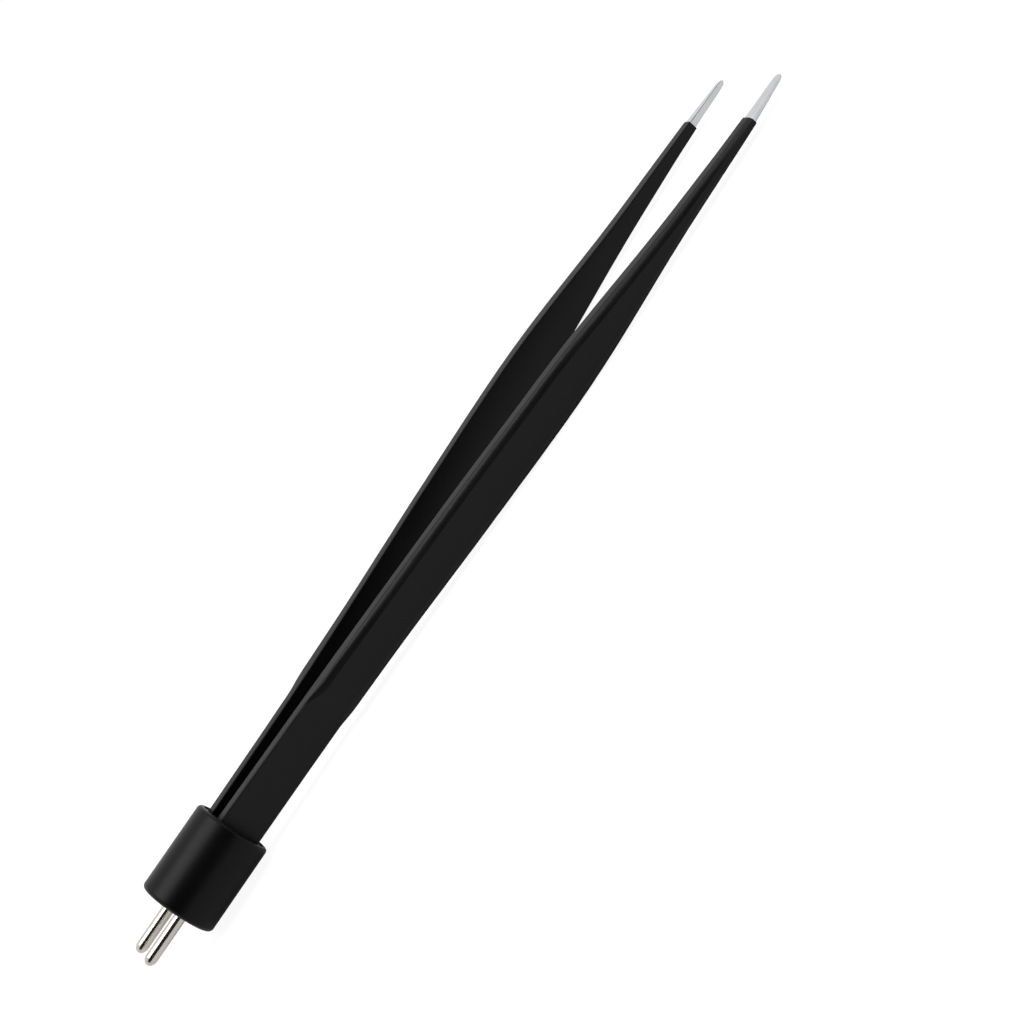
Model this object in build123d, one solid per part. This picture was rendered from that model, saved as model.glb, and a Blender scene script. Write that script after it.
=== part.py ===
"""Bipolar forceps with insulated arms and a round two-pin connector cap.

The instrument is drawn first in its own straight frame: X runs along the cap's axis towards
the tips with zero on the cap's front face, Y is the way the arms open (left arm on +Y), and
Z is across the arms' broad width. Last, the whole instrument is laid down as it comes to rest
on a table: on its side, on the cap's front rim and the lower edges of both arms. All sizes
are in millimetres.
"""
import os
from math import asin, atan2, degrees, hypot, sqrt
from typing import NamedTuple

from build123d import *

# Connector cap, a moulded cup
cap_radius = 7.3
cap_length = 17.4
cap_wall = 1.0
cap_rear_wall = 2.5
cap_front_round = 0.7
cap_rear_round = 0.9
most_of_wall = 0.9
key_width = 1.4
key_height = 0.6
mould_clearance = 0.05

# Contact pins, turned and then milled flat at the inner end
pin_spacing = 6.35
pin_radius = 1.15
pin_reach = 10.15
pin_nose = 1.3
pin_nose_fullness = 0.8
barrel_radius = 1.4
pin_hole_clearance = 0.05
shank_radius = 1.4
flange_radius = 2.0
flange_thick = 1.0

# Carrier and spacer plate, both insulators
carrier_length = 4.7
carrier_edge = 0.4
spacer_thick = 1.4
spacer_width = 9.0
spacer_seat = 1.0
tang_to_carrier = 0.2
tang_to_plug = 0.4

# Plug that closes the mouth of the cap
plug_thick = 3.0
plug_recess = 0.25
plug_chamfer = 0.25
slot_clearance = 0.15
slot_flex_room = 0.45
slot_corner = 0.5

# Arms over the coat: how far from the cap's front face their form changes, and the
# lengths of the shoulder and of the bare tip
coat_into_cap = 2.5
spring_end = 25.0
shoulder_run = 4.0
shoulder_lead = 5.5
grip_middle = 70.0
taper_start = 95.0
flare_place = 114.0
neck_place = 135.0
coat_end = 156.7
bare_tip = 10.8

# Arms: distance of the inner face from the middle of the instrument
mouth_gap = 1.6
spring_gap = 2.5
grip_gap = 5.85
taper_gap = 7.8
neck_gap = 9.05
tip_gap = 9.95

# Arms: thickness, in the way they open
spring_thick = 2.1
grip_thick = 3.1
taper_thick = 3.25
flare_thick = 3.8
coat_end_thick = 2.95
tip_thick = 1.35

# Arms: width, across the broad faces
mouth_width = 8.5
spring_width = 8.3
grip_width = 8.85
taper_width = 8.5
neck_width = 3.65
coat_end_width = 2.05
tip_width = 1.15

# Arms: the rounding of the long edges
inner_round = 0.3
tip_inner_round = 0.12
spring_round = 0.35
shoulder_flat = 2.3
grip_flat = 1.8
neck_flat = 2.25
grip_round_height = 1.4
neck_round_height = 1.25
coat_end_round_height = 0.53
tip_flat = 0.7
tip_round_height = 0.35
crease = 0.35
tip_nose = 1.3
section_core = 0.33
side_share = 0.9
flat_to_corner = 1.2

# Rounded nose of the tip: where it is cut, as shares of its length, and its end's size
nose_reaches = (0.5, 0.8, 0.96, 1.0)
nose_end_share = 0.14

# Coat and blade root
coat_thick = 0.2
root_length = 5.7
root_width = 5.6
root_corner = 0.8

# Rivet through the blade root and the pin's tang
rivet_radius = 0.65
rivet_head_radius = 1.2
rivet_head_thick = 0.45
rivet_to_root_end = 3.2
rivet_clearance = 0.2
lap_gap = 0.3
tip_touch_gap = 0.1

# How far a cut runs on past the face that it opens
cut_over = 1.0

# Places worked out from the sizes above
bore_radius = cap_radius - cap_wall
bore_floor = -cap_length + cap_rear_wall
cap_rim_round = min(cap_front_round, most_of_wall * cap_wall)
mouth_x = -coat_into_cap
root_end = mouth_x - root_length
flex_x = root_end + rivet_to_root_end
plug_front = -plug_recess
plug_rear = plug_front - plug_thick
carrier_front = bore_floor + carrier_length
tang_start = carrier_front + tang_to_carrier
tang_stop = plug_rear - tang_to_plug
pin_y = pin_spacing / 2
pin_end = -cap_length - pin_reach
root_inner = mouth_gap + coat_thick
root_outer = mouth_gap + spring_thick - coat_thick
root_middle = (root_inner + root_outer) / 2
lap_y = root_outer + lap_gap
shoulder_end = spring_end + shoulder_run
tip_end = coat_end + bare_tip
nose_start = tip_end - tip_nose


class Section(NamedTuple):
    """One cross-section of an arm, square to X, over its coat."""

    x: float
    gap: float
    flat: float
    thick: float
    width: float
    round_height: float
    inner_round: float


def along(keys, x):
    """Value at x of a smooth line through (place, value) keys that never overshoots them."""
    keys = sorted(keys)
    if x <= keys[0][0]:
        return keys[0][1]
    if x >= keys[-1][0]:
        return keys[-1][1]
    steps = [(b[0] - a[0], (b[1] - a[1]) / (b[0] - a[0])) for a, b in zip(keys, keys[1:])]
    slopes = [steps[0][1]]
    for (run, rise), (next_run, next_rise) in zip(steps, steps[1:]):
        if rise * next_rise <= 0:
            slopes.append(0.0)
        else:
            near, far = 2 * next_run + run, next_run + 2 * run
            slopes.append((near + far) / (near / rise + far / next_rise))
    slopes.append(steps[-1][1])
    index = max(i for i in range(len(steps)) if keys[i][0] <= x)
    run = steps[index][0]
    t = (x - keys[index][0]) / run
    start, stop = keys[index][1], keys[index + 1][1]
    return (
        start * (1 + 2 * t) * (1 - t) ** 2
        + slopes[index] * run * t * (1 - t) ** 2
        + stop * t**2 * (3 - 2 * t)
        + slopes[index + 1] * run * t**2 * (t - 1)
    )


gap_keys = [
    (mouth_x, mouth_gap),
    (spring_end, spring_gap),
    (grip_middle, grip_gap),
    (taper_start, taper_gap),
    (neck_place, neck_gap),
    (coat_end, tip_gap - coat_thick),
    (tip_end, tip_gap - coat_thick),
]
thick_keys = [
    (mouth_x, spring_thick),
    (spring_end, spring_thick),
    (shoulder_end, grip_thick),
    (taper_start, taper_thick),
    (flare_place, flare_thick),
    (coat_end, coat_end_thick),
    (nose_start, tip_thick + 2 * coat_thick),
]
flat_keys = [
    (spring_end, spring_thick - spring_round),
    (shoulder_end, shoulder_flat),
    ((shoulder_end + grip_middle) / 2, grip_flat),
    (neck_place, neck_flat),
    (coat_end, coat_end_thick / 2),
    (nose_start, tip_flat),
]
width_keys = [
    (mouth_x, mouth_width),
    (spring_end, spring_width),
    (grip_middle, grip_width),
    (taper_start, taper_width),
    (neck_place, neck_width),
    (coat_end, coat_end_width),
    (nose_start, tip_width + 2 * coat_thick),
]
round_keys = [
    (spring_end, spring_round),
    (shoulder_end, grip_round_height),
    (taper_start, grip_round_height),
    (neck_place, neck_round_height),
    (coat_end, coat_end_round_height),
    (nose_start, tip_round_height),
]
inner_round_keys = [(neck_place, inner_round), (nose_start, tip_inner_round)]


def arm_section(x):
    """Cross-section of the arm at x, read from the smooth lines above."""
    return Section(
        x,
        along(gap_keys, x),
        along(flat_keys, x),
        along(thick_keys, x),
        along(width_keys, x),
        along(round_keys, x),
        along(inner_round_keys, x),
    )


def section_places():
    """Where the arm is cut for its loft: close together at the shoulder, wider elsewhere."""
    stretches = [
        (mouth_x, spring_end - shoulder_lead, 6),
        (spring_end - shoulder_lead, spring_end, 2),
        (spring_end, shoulder_end, 2),
        (shoulder_end, shoulder_end + shoulder_lead, 2),
        (shoulder_end + shoulder_lead, taper_start, 12),
        (taper_start, coat_end, 11),
        (coat_end, nose_start, 2),
    ]
    places = [
        start + (stop - start) * step / count
        for start, stop, count in stretches
        for step in range(count)
    ]
    return places + [nose_start]


def section_face(cut, inset=0.0, scale=1.0):
    """Flat-backed, round-edged face of one section. A blade is inset by its coat."""
    y_mid = cut.gap + cut.thick * section_core
    inner = y_mid + (cut.gap + inset - y_mid) * scale
    outer = y_mid + (cut.gap + cut.thick - inset - y_mid) * scale
    top = (cut.width / 2 - inset) * scale
    corner = min(cut.inner_round, top / 2) * scale
    shoulder = max(inner + (cut.flat - inset) * scale, inner + corner * flat_to_corner)
    side = top - min(cut.round_height * scale, top * side_share)
    bend = shoulder + (1 - crease) * (outer - shoulder)

    def half(sign):
        points = [
            [(inner, top - corner), (inner, top), (inner + corner, top)],
            [(inner + corner, top), (shoulder, top)],
            [(shoulder, top), (bend, top), (outer, side)],
        ]
        return [[(cut.x, y, sign * z) for y, z in run] for run in points]

    upper, lower = half(1), half(-1)
    runs = [[lower[0][0], upper[0][0]]] + upper + [[upper[2][2], lower[2][2]]]
    runs += [list(reversed(run)) for run in reversed(lower)]
    edges = [Line(*run) if len(run) == 2 else Bezier(*run) for run in runs]
    return Face(Wire(edges))


def arm_loft(inset, places, nose):
    """Smooth solid through the sections at these places, with a rounded nose if asked."""
    faces = [section_face(arm_section(x), inset) for x in places]
    if nose:
        for reach in nose_reaches:
            size = max(sqrt(1 - reach**2), nose_end_share)
            cut = arm_section(nose_start)._replace(x=nose_start + reach * tip_nose)
            faces.append(section_face(cut, inset, size))
    return loft(faces)


def rod(start, stop, radius, y=0.0):
    """Round bar along X between two places."""
    return extrude(Plane.YZ.offset(start) * Pos(y, 0) * Circle(radius), stop - start)


def block(start, stop, y_low, y_high, height):
    """Box along X between two places, even about the middle height."""
    size = (stop - start, y_high - y_low, height)
    return Pos((start + stop) / 2, (y_low + y_high) / 2, 0) * Box(*size)


def bar_across(radius, x, y_low, y_high):
    """Round bar along Y, for rivets and their holes."""
    return Pos(x, (y_low + y_high) / 2, 0) * Rot(90, 0, 0) * Cylinder(radius, y_high - y_low)


def make_blade():
    """Left blade in steel: root with a rivet hole, spring, grip, taper and bare tip."""
    blade = arm_loft(coat_thick, section_places(), nose=True)
    root = block(root_end, mouth_x, root_inner, root_outer, root_width)
    corners = root.edges().filter_by(Axis.Y).group_by(Axis.X)[0]
    blade += fillet(corners, root_corner)
    return blade - bar_across(rivet_radius, flex_x, root_inner - cut_over, root_outer + cut_over)


def make_coat(blade):
    """Insulating coat: the arm's outer form from the mouth to the bare tip, less the blade."""
    places = [x for x in section_places() if x <= coat_end]
    return arm_loft(0.0, places, nose=False) - blade


def make_pin():
    """Left contact pin: round nose, flange behind the cap's wall, shank and milled tang."""
    flange_stop = bore_floor + flange_thick
    outline = Polyline(
        (pin_end + pin_nose, pin_radius),
        (-cap_length, pin_radius),
        (-cap_length, barrel_radius),
        (bore_floor, barrel_radius),
        (bore_floor, flange_radius),
        (flange_stop, flange_radius),
        (flange_stop, shank_radius),
        (tang_start, shank_radius),
        (tang_start, flange_radius),
        (tang_stop, flange_radius),
        (tang_stop, 0),
        (pin_end, 0),
    )
    nose = Bezier(
        (pin_end, 0), (pin_end, pin_radius * pin_nose_fullness), (pin_end + pin_nose, pin_radius)
    )
    pin = Pos(0, pin_y, 0) * revolve(make_face([outline, nose]), Axis.X)
    inside = pin_y - flange_radius - cut_over
    outside = pin_y + flange_radius + cut_over
    across = 2 * (flange_radius + cut_over)
    pin -= block(tang_start, tang_stop + cut_over, inside, lap_y, across)
    pin -= bar_across(rivet_radius + rivet_clearance, flex_x, inside, outside)
    return pin - bar_across(rivet_head_radius + rivet_clearance, flex_x, rivet_seat(), outside)


def rivet_seat():
    """Height of the flat that is spot-faced on the tang's round back."""
    return pin_y + sqrt(flange_radius**2 - rivet_head_radius**2)


def make_rivet():
    """Left rivet: headed on the blade root's inner face and over the tang."""
    outer_head = rivet_seat() + lap_gap / 2
    rivet = bar_across(rivet_radius, flex_x, root_inner, outer_head)
    rivet += bar_across(rivet_head_radius, flex_x, root_inner - rivet_head_thick, root_inner)
    return rivet + bar_across(
        rivet_head_radius, flex_x, outer_head, outer_head + rivet_head_thick
    )


def key_ribs(start, stop, clearance):
    """Two ribs in the cap's bore, above and below, that keep the carrier from turning."""
    low = bore_radius - key_height - clearance
    height = cap_radius - cap_wall / 2 - low
    ribs = Part()
    for side in (1, -1):
        place = Pos((start + stop) / 2, 0, side * (low + height / 2))
        ribs += place * Box(stop - start, key_width + 2 * clearance, height)
    return ribs


def make_cap():
    """Moulded cap: a cup with a thick rear wall, two pin holes and two inner ribs."""
    cap = rod(-cap_length, 0, cap_radius)
    rims = cap.edges().filter_by(GeomType.CIRCLE).sort_by(Axis.X)
    cap = fillet(rims[0], cap_rear_round)
    rims = cap.edges().filter_by(GeomType.CIRCLE).sort_by(Axis.X)
    cap = fillet(rims[-1], cap_rim_round)
    cap -= rod(bore_floor, cut_over, bore_radius)
    for side in (1, -1):
        cap -= rod(-cap_length - cut_over, 0, barrel_radius + pin_hole_clearance, side * pin_y)
    return cap + key_ribs(bore_floor, carrier_front, 0.0)


def make_carrier():
    """Moulded insulator in the bottom of the cap that clamps both pin flanges."""
    carrier = rod(bore_floor, carrier_front, bore_radius - mould_clearance)
    rim = carrier.edges().filter_by(GeomType.CIRCLE).sort_by(Axis.X)[-1]
    carrier = chamfer(rim, carrier_edge)
    below, above = bore_floor - cut_over, carrier_front + cut_over
    for side in (1, -1):
        y = side * pin_y
        carrier -= rod(below, above, shank_radius + mould_clearance, y)
        flange_stop = bore_floor + flange_thick + mould_clearance
        carrier -= rod(below, flange_stop, flange_radius + mould_clearance, y)
    half = spacer_thick / 2 + mould_clearance
    seat = carrier_front - spacer_seat
    carrier -= block(seat, above, -half, half, spacer_width + 2 * mould_clearance)
    return carrier - key_ribs(below, above, mould_clearance)


def make_spacer():
    """Flat insulating plate between the blade roots, seated in the carrier and the plug."""
    start = carrier_front - spacer_seat
    stop = plug_rear + spacer_seat
    return block(start, stop, -spacer_thick / 2, spacer_thick / 2, spacer_width)


def make_plug():
    """Plug in the cap's mouth, with a slot for each arm and a seat for the spacer."""
    plug = rod(plug_rear, plug_front, bore_radius - mould_clearance)
    rim = plug.edges().filter_by(GeomType.CIRCLE).sort_by(Axis.X)[-1]
    plug = chamfer(rim, plug_chamfer)
    inner = mouth_gap - slot_flex_room
    outer = mouth_gap + spring_thick + slot_clearance
    below, above = plug_rear - cut_over, plug_front + cut_over
    slot = block(below, above, inner, outer, mouth_width + 2 * slot_clearance)
    slot = fillet(slot.edges().filter_by(Axis.X), slot_corner)
    plug -= slot
    plug -= mirror(slot, about=Plane.XZ)
    half = spacer_thick / 2 + mould_clearance
    seat = plug_rear + spacer_seat
    return plug - block(below, seat, -half, half, spacer_width + 2 * mould_clearance)


def lay_angle():
    """Slope of the table under the instrument: from the cap's front rim to the arms."""
    rim = cap_rim_round
    cuts = [arm_section(x) for x in section_places() if x >= grip_middle]
    return min(atan2(cap_radius - cut.width / 2, cut.x + rim) for cut in cuts)


def closing_angle():
    """Turn of one arm about its rivet, in degrees, that brings its tip to the middle."""
    run = nose_start - flex_x
    rise = tip_gap - root_middle
    reach = hypot(run, rise)
    return degrees(atan2(rise, run) + asin((root_middle - tip_touch_gap) / reach))


left_blade = make_blade()
left_parts = {
    "blade": left_blade,
    "coat": make_coat(left_blade),
    "pin": make_pin(),
    "rivet": make_rivet(),
}
pieces = {
    "cap_shell": make_cap(),
    "pin_carrier": make_carrier(),
    "arm_spacer": make_spacer(),
    "front_plug": make_plug(),
}
for name, solid in left_parts.items():
    pieces["left_" + name] = solid
    pieces["right_" + name] = mirror(solid, about=Plane.XZ)

# Lay the instrument down, and put the origin under the middle of its box
tilt = Rot(0, degrees(lay_angle()), 0)
laid = {name: tilt * solid for name, solid in pieces.items()}
box = Compound(list(laid.values())).bounding_box()
settle = Pos(-box.center().X, 0, -box.min.Z)

os.makedirs("parts", exist_ok=True)
for name, solid in laid.items():
    export_step(settle * solid, f"parts/{name}.step")

print("lay angle, degrees:", degrees(lay_angle()))
print("shift of the tilted instrument:", -box.center().X, -box.min.Z)
print("closing angle of one arm, degrees:", closing_angle())
print("rivet place:", flex_x, root_middle)
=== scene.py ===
"""Looks of the bipolar forceps: finishes for every surface, a plain studio and the camera.

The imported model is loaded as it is, in metres, lying on the floor with +X towards the tips,
+Y the way the left arm opens and +Z up. The cap's axis slopes down towards the tips.
"""
import logging
from dataclasses import dataclass, field
from enum import Enum
from math import pi, radians
from typing import Any, ClassVar

import bmesh
import bpy
from mathutils import Euler, Matrix, Vector

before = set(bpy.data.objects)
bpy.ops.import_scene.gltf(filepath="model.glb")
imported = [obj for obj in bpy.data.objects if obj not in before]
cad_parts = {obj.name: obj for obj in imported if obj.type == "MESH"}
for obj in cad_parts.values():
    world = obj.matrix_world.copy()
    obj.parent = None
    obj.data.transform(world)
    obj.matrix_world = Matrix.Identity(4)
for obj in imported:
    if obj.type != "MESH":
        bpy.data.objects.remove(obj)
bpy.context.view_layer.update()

MM = 0.001
WHITE = "#FFFFFF"

# Sockets that share their name with others on the node, and so are picked by number
MIX_SHARE, MIX_FROM, MIX_TO, MIX_RESULT = 0, 6, 7, 2
SHADER_SHARE, SHADER_FROM, SHADER_TO = 0, 1, 2

# Detail of a noise pattern, from a soft swell to a broken-up mottle
SOFT, FINE, BROKEN = 1.0, 2.0, 3.0

log = logging.getLogger("forceps")


def linear(colour: str) -> tuple[float, float, float, float]:
    """Turns an sRGB hex colour into linear RGBA.

    Args:
        colour: Six hex digits after a hash sign.

    Returns:
        Linear red, green and blue with an alpha of one.
    """
    parts = [int(colour[i : i + 2], 16) / 255 for i in (1, 3, 5)]
    red, green, blue = (
        part / 12.92 if part <= 0.04045 else ((part + 0.055) / 1.055) ** 2.4 for part in parts
    )
    return (red, green, blue, 1.0)


def add_node(
    tree: bpy.types.NodeTree,
    kind: str,
    settings: dict[str | int, Any] | None = None,
    links: dict[str | int, bpy.types.NodeSocket] | None = None,
) -> bpy.types.Node:
    """Adds one node with its settings and links.

    Args:
        tree: Node tree that takes the node.
        kind: Blender's name for the node's type.
        settings: Values by property name or, failing that, by an input's name or number.
        links: Sockets that feed the node, by the input's name or number.

    Returns:
        The new node.
    """
    node = tree.nodes.new(kind)
    for name, value in (settings or {}).items():
        if isinstance(name, str) and hasattr(node, name):
            setattr(node, name, value)
        else:
            node.inputs[name].default_value = value
    for name, socket in (links or {}).items():
        tree.links.new(socket, node.inputs[name])
    return node


def empty_material(name: str) -> bpy.types.Material:
    """Makes a material whose node tree is still empty.

    Args:
        name: The material's name.

    Returns:
        The new material.
    """
    made = bpy.data.materials.new(name)
    made.use_nodes = True
    made.node_tree.nodes.clear()
    return made


def stage_shape(
    name: str, shape: bmesh.types.BMesh, material: bpy.types.Material
) -> bpy.types.Object:
    """Turns a shape into a piece of the studio, which isn't part of the instrument.

    Args:
        name: The piece's name.
        shape: Its shape, which is freed here.
        material: The material it takes.

    Returns:
        The new object.
    """
    mesh = bpy.data.meshes.new(name)
    shape.to_mesh(mesh)
    shape.free()
    mesh.materials.append(material)
    piece = bpy.data.objects.new(name, mesh)
    bpy.context.scene.collection.objects.link(piece)
    return piece


def seen_rays(tree: bpy.types.NodeTree) -> bpy.types.NodeSocket:
    """Picks out the rays that show a background: seen, mirrored or passed through.

    Args:
        tree: Node tree that takes the nodes.

    Returns:
        A socket of one for such a ray and zero for any other.
    """
    rays = add_node(tree, "ShaderNodeLightPath")
    mirrored = add_node(
        tree,
        "ShaderNodeMath",
        {"operation": "MAXIMUM"},
        {0: rays.outputs["Is Camera Ray"], 1: rays.outputs["Is Glossy Ray"]},
    )
    either = add_node(
        tree,
        "ShaderNodeMath",
        {"operation": "MAXIMUM"},
        {0: mirrored.outputs[0], 1: rays.outputs["Is Transmission Ray"]},
    )
    return either.outputs[0]


class Side(Enum):
    """The two arms, by the word that the names of their pieces start with."""

    LEFT = "left"
    RIGHT = "right"


@dataclass(frozen=True)
class Finish:
    """One surface finish, which becomes one material on real-size Object coordinates."""

    name: ClassVar[str] = "finish"

    def material(self) -> bpy.types.Material:
        """Makes the finish's material, or gives the one already made.

        Returns:
            The material that carries this finish.
        """
        made = bpy.data.materials.get(self.name)
        if made is not None:
            return made
        made = empty_material(self.name)
        tree = made.node_tree
        shader = add_node(tree, "ShaderNodeBsdfPrincipled")
        add_node(tree, "ShaderNodeOutputMaterial", links={"Surface": shader.outputs[0]})
        place = add_node(tree, "ShaderNodeTexCoord").outputs["Object"]
        self.dress(tree, shader, place)
        return made

    def dress(
        self, tree: bpy.types.NodeTree, shader: bpy.types.Node, place: bpy.types.NodeSocket
    ) -> None:
        """Sets the shader and draws the finish's patterns.

        Args:
            tree: The material's node tree.
            shader: Its Principled shader.
            place: Object coordinates, in metres.
        """
        raise NotImplementedError


@dataclass(frozen=True)
class SkinOnBlack(Finish):
    """A black polymer surface with a fine grain, soft mottling and even sheen."""

    dark: str = "#08080A"
    pale: str = "#0F0F11"
    roughness: float = 0.44
    roughness_swing: float = 0.07
    specular: float = 0.20
    # Real grain is under a tenth of a millimetre, and is drawn coarser here so that it shows
    grain_mm: float = 0.25
    grain_height_mm: float = 0.008
    swell_mm: float = 1.6
    swell_height_mm: float = 0.006
    mottle_mm: float = 7.0

    def dress(
        self, tree: bpy.types.NodeTree, shader: bpy.types.Node, place: bpy.types.NodeSocket
    ) -> None:
        """Sets the shader and draws mottling, swell and grain.

        Args:
            tree: The material's node tree.
            shader: Its Principled shader.
            place: Object coordinates, in metres.
        """
        at = {"Vector": place}
        mottle = add_node(
            tree, "ShaderNodeTexNoise", {"Scale": 1 / (self.mottle_mm * MM), "Detail": BROKEN}, at
        )
        colour = add_node(
            tree,
            "ShaderNodeMix",
            {"data_type": "RGBA", MIX_FROM: linear(self.dark), MIX_TO: linear(self.pale)},
            {MIX_SHARE: mottle.outputs["Fac"]},
        )
        gloss = add_node(
            tree,
            "ShaderNodeMapRange",
            {
                "To Min": self.roughness - self.roughness_swing,
                "To Max": self.roughness + self.roughness_swing,
            },
            {"Value": mottle.outputs["Fac"]},
        )
        swell = add_node(
            tree, "ShaderNodeTexNoise", {"Scale": 1 / (self.swell_mm * MM), "Detail": SOFT}, at
        )
        grain = add_node(
            tree, "ShaderNodeTexNoise", {"Scale": 1 / (self.grain_mm * MM), "Detail": FINE}, at
        )
        low = add_node(
            tree,
            "ShaderNodeBump",
            {"Strength": 1.0, "Distance": self.swell_height_mm * MM},
            {"Height": swell.outputs["Fac"]},
        )
        high = add_node(
            tree,
            "ShaderNodeBump",
            {"Strength": 1.0, "Distance": self.grain_height_mm * MM},
            {"Height": grain.outputs["Fac"], "Normal": low.outputs[0]},
        )
        shader.inputs["Specular IOR Level"].default_value = self.specular
        tree.links.new(colour.outputs[MIX_RESULT], shader.inputs["Base Color"])
        tree.links.new(gloss.outputs[0], shader.inputs["Roughness"])
        tree.links.new(high.outputs[0], shader.inputs["Normal"])


@dataclass(frozen=True)
class PowderCoat(SkinOnBlack):
    """Nylon powder fused on the hot blade: fine matt, with a faint orange-peel skin."""

    # To the eye: deep black broad faces, with a soft grey sheen along the upper edges
    name: ClassVar[str] = "nylon_powder_coat"


@dataclass(frozen=True)
class MouldedShell(SkinOnBlack):
    """Glass-filled polymer moulded in a spark-eroded tool: semi-matt, with a fine even grain."""

    # To the eye: blacker and a little smoother than the arms, with one broad soft highlight
    name: ClassVar[str] = "spark_textured_polymer"
    dark: str = "#060607"
    pale: str = "#0B0B0D"
    roughness: float = 0.36
    specular: float = 0.13
    # Coarser than the real spark texture too, so that it shows
    grain_mm: float = 0.22
    swell_mm: float = 4.0


@dataclass(frozen=True)
class MouldedInsert(SkinOnBlack):
    """Black polymer moulded in a blasted tool, for the plug and the pin carrier: dull and dry."""

    # To the eye: a dry black, a shade greyer than the cap round it
    name: ClassVar[str] = "blasted_mould_polymer"
    dark: str = "#101012"
    pale: str = "#1A1A1C"
    roughness: float = 0.6


@dataclass(frozen=True)
class WorkedMetal(Finish):
    """Metal with fine tool lines that run one way and a soft change of gloss."""

    colour: str = "#D2D3D5"
    dull_colour: str = "#C2C3C6"
    roughness: float = 0.2
    roughness_swing: float = 0.05
    # Length of the lines along X, Y and Z. Real lines lie a few hundredths of a millimetre
    # apart, and are drawn coarser here so that they show
    line_mm: tuple[float, float, float] = (6.0, 0.12, 0.12)
    line_height_mm: float = 0.002
    line_breakup: float = 0.6
    mottle_mm: float = 2.5

    def dress(
        self, tree: bpy.types.NodeTree, shader: bpy.types.Node, place: bpy.types.NodeSocket
    ) -> None:
        """Sets the shader and draws tool lines and mottling.

        Args:
            tree: The material's node tree.
            shader: Its Principled shader.
            place: Object coordinates, in metres.
        """
        stretched = add_node(
            tree,
            "ShaderNodeMapping",
            {"Scale": [1 / (length * MM) for length in self.line_mm]},
            {"Vector": place},
        )
        lines = add_node(
            tree,
            "ShaderNodeTexNoise",
            {"Scale": 1.0, "Detail": BROKEN, "Roughness": self.line_breakup},
            {"Vector": stretched.outputs[0]},
        )
        mottle = add_node(
            tree,
            "ShaderNodeTexNoise",
            {"Scale": 1 / (self.mottle_mm * MM), "Detail": FINE},
            {"Vector": place},
        )
        colour = add_node(
            tree,
            "ShaderNodeMix",
            {"data_type": "RGBA", MIX_FROM: linear(self.dull_colour), MIX_TO: linear(self.colour)},
            {MIX_SHARE: mottle.outputs["Fac"]},
        )
        gloss = add_node(
            tree,
            "ShaderNodeMapRange",
            {
                "To Min": self.roughness - self.roughness_swing,
                "To Max": self.roughness + self.roughness_swing,
            },
            {"Value": lines.outputs["Fac"]},
        )
        bump = add_node(
            tree,
            "ShaderNodeBump",
            {"Strength": 1.0, "Distance": self.line_height_mm * MM},
            {"Height": lines.outputs["Fac"]},
        )
        shader.inputs["Metallic"].default_value = 1.0
        tree.links.new(colour.outputs[MIX_RESULT], shader.inputs["Base Color"])
        tree.links.new(gloss.outputs[0], shader.inputs["Roughness"])
        tree.links.new(bump.outputs[0], shader.inputs["Normal"])


@dataclass(frozen=True)
class SatinSteel(WorkedMetal):
    """Stainless blade steel, ground and brushed lengthwise: satin, with drawn-out highlights."""

    # To the eye: bright silver tips, whose reflections are soft and run lengthwise
    name: ClassVar[str] = "brushed_stainless_steel"


@dataclass(frozen=True)
class NickelPlate(WorkedMetal):
    """Nickel plate on turned brass pins: polished, slightly warm, with faint turning rings."""

    # To the eye: bright and a little warm, with a dark streak along each pin
    name: ClassVar[str] = "polished_nickel_plate"
    colour: str = "#CFCBC4"
    dull_colour: str = "#BDB8B0"
    roughness_swing: float = 0.04
    # The lines run round the pins here, again coarser than real
    line_mm: tuple[float, float, float] = (0.12, 6.0, 6.0)
    line_height_mm: float = 0.0004


@dataclass(frozen=True)
class RivetBrass(WorkedMetal):
    """Drawn brass rivets, set cold: warm yellow with a dull burnish."""

    # To the eye: nothing while the cap is on, and dull yellow heads when it is off
    name: ClassVar[str] = "cold_set_brass"
    colour: str = "#C9A86A"
    dull_colour: str = "#B08F56"
    roughness: float = 0.34


@dataclass(frozen=True)
class LaminateSheet(Finish):
    """Glass-cloth laminate cut from sheet: pale amber resin with a woven ground."""

    # To the eye: nothing while the cap is on, and a small pale amber check when it is off
    name: ClassVar[str] = "glass_cloth_laminate"
    resin: str = "#A08B5E"
    cloth: str = "#B9A780"
    thread_mm: float = 0.5
    roughness: float = 0.5

    def dress(
        self, tree: bpy.types.NodeTree, shader: bpy.types.Node, place: bpy.types.NodeSocket
    ) -> None:
        """Sets the shader and draws the cloth's threads as a checker.

        Args:
            tree: The material's node tree.
            shader: Its Principled shader.
            place: Object coordinates, in metres.
        """
        weave = add_node(
            tree,
            "ShaderNodeTexChecker",
            {
                "Scale": 1 / (self.thread_mm * MM),
                "Color1": linear(self.resin),
                "Color2": linear(self.cloth),
            },
            {"Vector": place},
        )
        shader.inputs["Roughness"].default_value = self.roughness
        tree.links.new(weave.outputs["Color"], shader.inputs["Base Color"])


def dress_node(name: str, finish: Finish) -> None:
    """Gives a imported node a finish.

    Args:
        name: The node's name.
        finish: The finish it takes.
    """
    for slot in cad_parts[name].material_slots:
        slot.material = finish.material()
    log.info("dressed %s in %s", name, finish.name)


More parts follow.
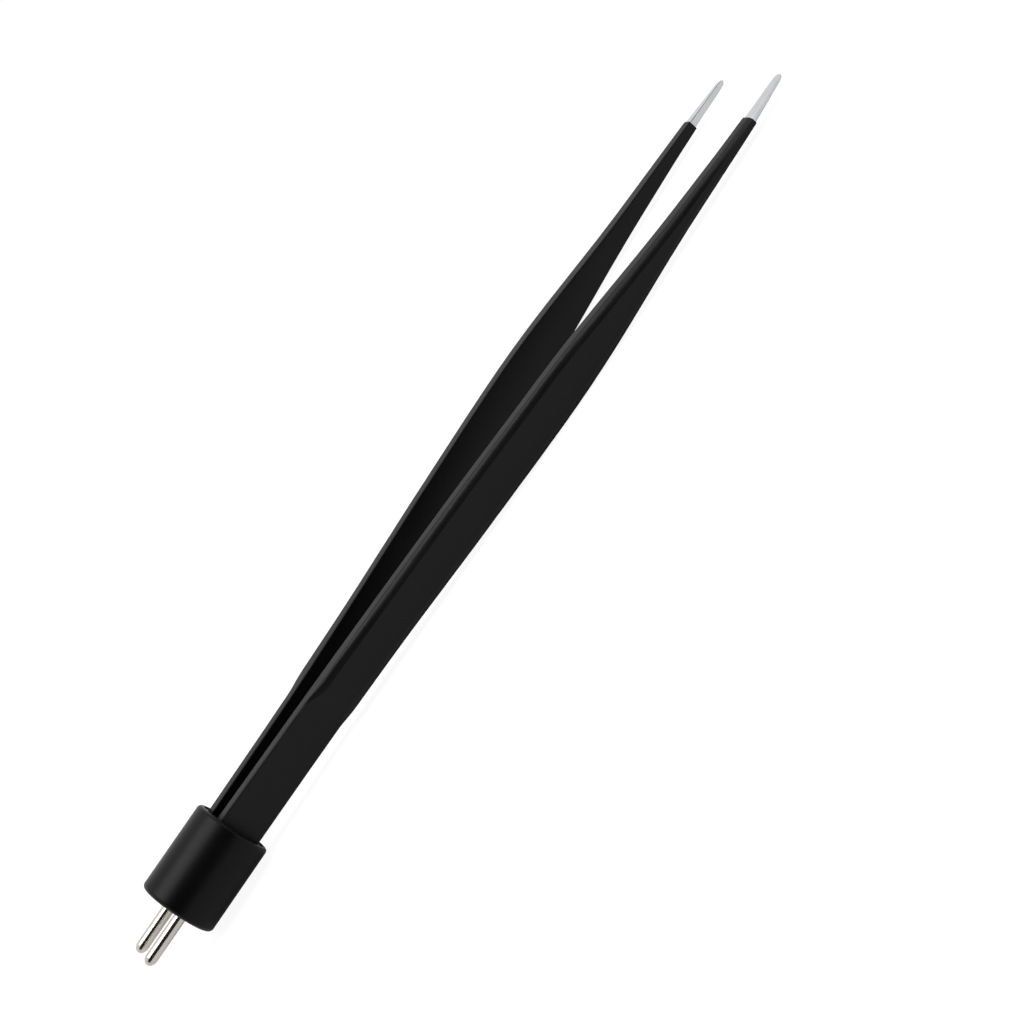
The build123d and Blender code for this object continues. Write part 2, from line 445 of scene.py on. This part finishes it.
@dataclass
class Connector:
    """The round connector: cap, plug, pin carrier, spacer and two contact pins."""

    finishes: dict[str, Finish] = field(
        default_factory=lambda: {
            "cap_shell": MouldedShell(),
            "front_plug": MouldedInsert(),
            "pin_carrier": MouldedInsert(),
            "arm_spacer": LaminateSheet(),
            "left_pin": NickelPlate(),
            "right_pin": NickelPlate(),
        }
    )

    def dress(self) -> None:
        """Gives each piece of the connector its finish."""
        for name, finish in self.finishes.items():
            dress_node(name, finish)


@dataclass
class Arm:
    """One arm: a sprung steel blade in its insulating coat, with the rivet at its root."""

    side: Side

    def dress(self) -> None:
        """Gives the blade, the coat and the rivet their finishes."""
        dress_node(f"{self.side.value}_blade", SatinSteel())
        dress_node(f"{self.side.value}_coat", PowderCoat())
        dress_node(f"{self.side.value}_rivet", RivetBrass())


@dataclass
class Studio:
    """A pale floor, an overhead softbox, a black card above the camera and a white surround.

    Sizes and distances are in metres where their name gives no unit. A floor as seen or as
    mirrored is the colour of the share that the lamps light, and the strength of its glow.
    """

    camera_mm: tuple[float, float, float] = (-35.37, -321.93, 145.29)
    azimuth_deg: float = 7.059
    elevation_deg: float = 24.880
    roll_deg: float = -54.245
    focal_px: float = 1946.3
    image_px: int = 1024
    sensor_mm: float = 36.0
    nearest: float = 0.01
    floor_span: float = 30.0
    floor_colour: str = "#F4F4F4"
    floor_seen: tuple[str, float] = ("#707070", 0.93)
    floor_mirrored: tuple[str, float] = ("#E5E5E5", 0.11)
    box_size: tuple[float, float] = (0.55, 0.40)
    box_lean_deg: float = 6.0
    box_distance: float = 0.62
    box_radiance: float = 3.9
    card_size: tuple[float, float] = (3.2, 1.1)
    card_colour: str = "#080808"
    card_elevation_deg: float = 32.0
    card_distance: float = 0.95
    surround_strength: float = 1.0
    ambient_strength: float = 0.6

    def add_camera(self) -> None:
        """Places the camera at the photograph's viewing angle and makes it the scene's own."""
        lens = bpy.data.cameras.new("camera")
        lens.sensor_fit = "HORIZONTAL"
        lens.sensor_width = self.sensor_mm
        lens.lens = self.focal_px * self.sensor_mm / self.image_px
        lens.clip_start = self.nearest
        camera = bpy.data.objects.new("camera", lens)
        aim = Euler((radians(90 - self.elevation_deg), 0, -radians(self.azimuth_deg)))
        turn = aim.to_matrix() @ Matrix.Rotation(radians(self.roll_deg), 3, "Z")
        camera.matrix_world = Matrix.LocRotScale(Vector(self.camera_mm) * MM, turn, None)
        bpy.context.scene.collection.objects.link(camera)
        bpy.context.scene.camera = camera

    def glowing_floor(
        self, tree: bpy.types.NodeTree, colour: str, glow: float
    ) -> bpy.types.NodeSocket:
        """Makes a floor that glows evenly and takes shadows in the share left to its colour.

        Args:
            tree: The floor's node tree.
            colour: Colour of the share that the lamps light.
            glow: Strength of the even glow.

        Returns:
            The shader's output.
        """
        shade = add_node(tree, "ShaderNodeBsdfDiffuse", {"Color": linear(colour)})
        even = add_node(tree, "ShaderNodeEmission", {"Strength": glow})
        both = add_node(
            tree, "ShaderNodeAddShader", links={0: shade.outputs[0], 1: even.outputs[0]}
        )
        return both.outputs[0]

    def floor_material(self) -> bpy.types.Material:
        """Makes the floor's material, which lights the object plainly and shows near white.

        Returns:
            The new material.
        """
        material = empty_material("pale_floor")
        tree = material.node_tree
        lit = add_node(tree, "ShaderNodeBsdfDiffuse", {"Color": linear(self.floor_colour)})
        straight, mirrored = (
            self.glowing_floor(tree, *share) for share in (self.floor_seen, self.floor_mirrored)
        )
        glossy_ray = add_node(tree, "ShaderNodeLightPath").outputs["Is Glossy Ray"]
        seen = add_node(
            tree,
            "ShaderNodeMixShader",
            links={SHADER_SHARE: glossy_ray, SHADER_FROM: straight, SHADER_TO: mirrored},
        )
        either = add_node(
            tree,
            "ShaderNodeMixShader",
            links={
                SHADER_SHARE: seen_rays(tree),
                SHADER_FROM: lit.outputs[0],
                SHADER_TO: seen.outputs[0],
            },
        )
        add_node(tree, "ShaderNodeOutputMaterial", links={"Surface": either.outputs[0]})
        return material

    def add_floor(self) -> None:
        """Lays the floor under the instrument."""
        shape = bmesh.new()
        bmesh.ops.create_grid(shape, x_segments=1, y_segments=1, size=self.floor_span / 2)
        stage_shape("floor", shape, self.floor_material())

    def add_surround(self) -> None:
        """Makes the world white where it is seen or mirrored, and a soft ambient light elsewhere."""
        world = bpy.data.worlds.new("surround")
        world.use_nodes = True
        tree = world.node_tree
        tree.nodes.clear()
        ambient, white = (
            add_node(
                tree, "ShaderNodeBackground", {"Color": linear(WHITE), "Strength": strength}
            )
            for strength in (self.ambient_strength, self.surround_strength)
        )
        either = add_node(
            tree,
            "ShaderNodeMixShader",
            links={
                SHADER_SHARE: seen_rays(tree),
                SHADER_FROM: ambient.outputs[0],
                SHADER_TO: white.outputs[0],
            },
        )
        add_node(tree, "ShaderNodeOutputWorld", links={"Surface": either.outputs[0]})
        bpy.context.scene.world = world

    def add_softbox(self) -> None:
        """Hangs the softbox over the instrument, leaning a little towards the camera."""
        light = bpy.data.lights.new("softbox", "AREA")
        light.shape = "RECTANGLE"
        light.size, light.size_y = self.box_size
        light.energy = self.box_radiance * pi * self.box_size[0] * self.box_size[1]
        softbox = bpy.data.objects.new("softbox", light)
        turn = Matrix.Rotation(radians(self.box_lean_deg), 4, "X")
        softbox.matrix_world = turn @ Matrix.Translation((0, 0, self.box_distance))
        bpy.context.scene.collection.objects.link(softbox)

    def card_material(self) -> bpy.types.Material:
        """Makes the card's material, a fully matt black.

        Returns:
            The new material.
        """
        material = empty_material("black_card")
        shader = add_node(
            material.node_tree,
            "ShaderNodeBsdfPrincipled",
            {"Base Color": linear(self.card_colour), "Roughness": 1.0},
        )
        add_node(
            material.node_tree, "ShaderNodeOutputMaterial", links={"Surface": shader.outputs[0]}
        )
        return material

    def add_card(self) -> None:
        """Stands a black card above the camera, which keeps the black finishes deep."""
        width, height = self.card_size
        shape = bmesh.new()
        bmesh.ops.create_grid(shape, x_segments=1, y_segments=1, size=width / 2)
        bmesh.ops.scale(shape, vec=(1.0, height / width, 1.0), verts=shape.verts)
        turn = Matrix.Rotation(radians(90 - self.card_elevation_deg), 4, "X")
        away = Matrix.Translation((0, 0, self.card_distance))
        bmesh.ops.transform(shape, matrix=turn @ away, verts=shape.verts)
        card = stage_shape("black_card", shape, self.card_material())
        card.visible_camera = False
        card.visible_shadow = False

    def build(self) -> None:
        """Sets up the whole studio."""
        self.add_camera()
        self.add_floor()
        self.add_surround()
        self.add_softbox()
        self.add_card()
        bpy.context.scene.view_settings.view_transform = "Standard"
        log.info("studio ready")


def main() -> None:
    """Dresses the forceps and sets up the studio."""
    logging.basicConfig(level=logging.INFO, format="%(name)s: %(message)s")
    Connector().dress()
    for side in Side:
        Arm(side).dress()
    Studio().build()


if __name__ == "__main__":
    main()
